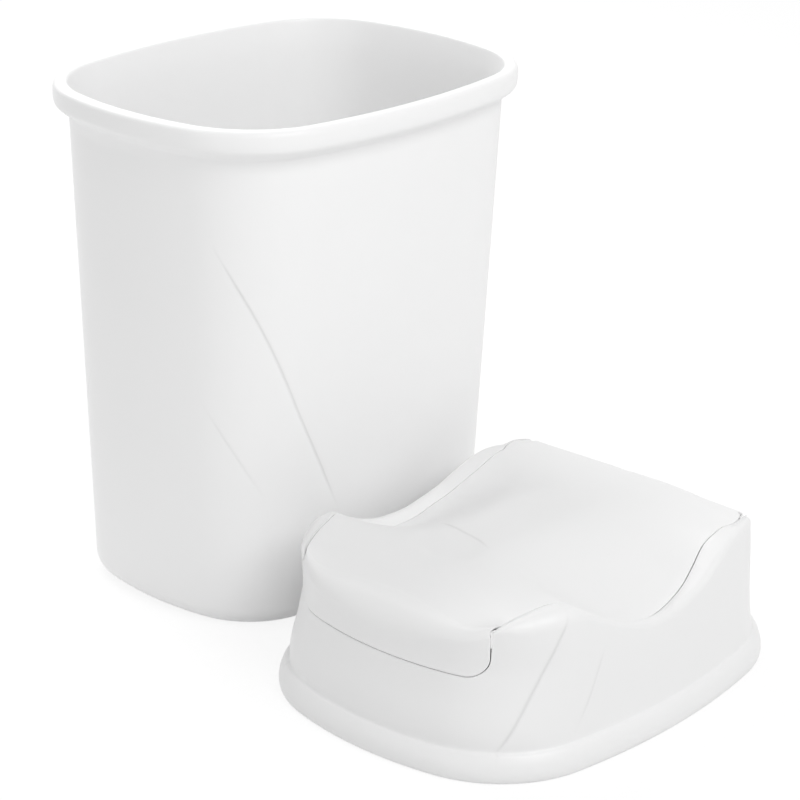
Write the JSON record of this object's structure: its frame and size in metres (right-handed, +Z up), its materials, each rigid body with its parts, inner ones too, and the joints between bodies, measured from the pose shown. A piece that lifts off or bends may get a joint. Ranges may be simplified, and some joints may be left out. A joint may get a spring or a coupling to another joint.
{
  "type": "nappy bin",
  "caption": "Nappy bin: a tall open tub with a rolled rim and, set down beside it, a saddle-topped cover with a flared band and a hinged flap whose lip wraps over the front.",
  "frame": {"origin": "middle of the tub's foot, on the floor", "axes": "+Z up, -Y the bin's front, +X the tub's right-hand side, where the lid unit stands"},
  "size_m": [0.4614, 0.3249, 0.334],
  "materials": {
    "white_plastic": "satin moulded white",
    "pin_steel": "drawn wire",
    "seal_rubber": "soft pale grey"
  },
  "bodies": {
    "tub": {"tub": "white_plastic"},
    "cover": {"cover": "white_plastic", "rim_seal": "seal_rubber"},
    "flap": {"flap": "white_plastic", "hinge_pin_left": "pin_steel", "hinge_pin_right": "pin_steel"}
  },
  "joints": [
    {"name": "cover_lift", "type": "slide", "parent": "tub", "child": "cover", "axis": [0.0995, 0, 0.995], "range_m": [0, 0.42]},
    {"name": "flap_hinge", "type": "hinge", "parent": "cover", "child": "flap", "pos_m": [0.227, 0.0835, 0.0885], "axis": [-1, 0, 0], "range_deg": [0, 95]}
  ]
}
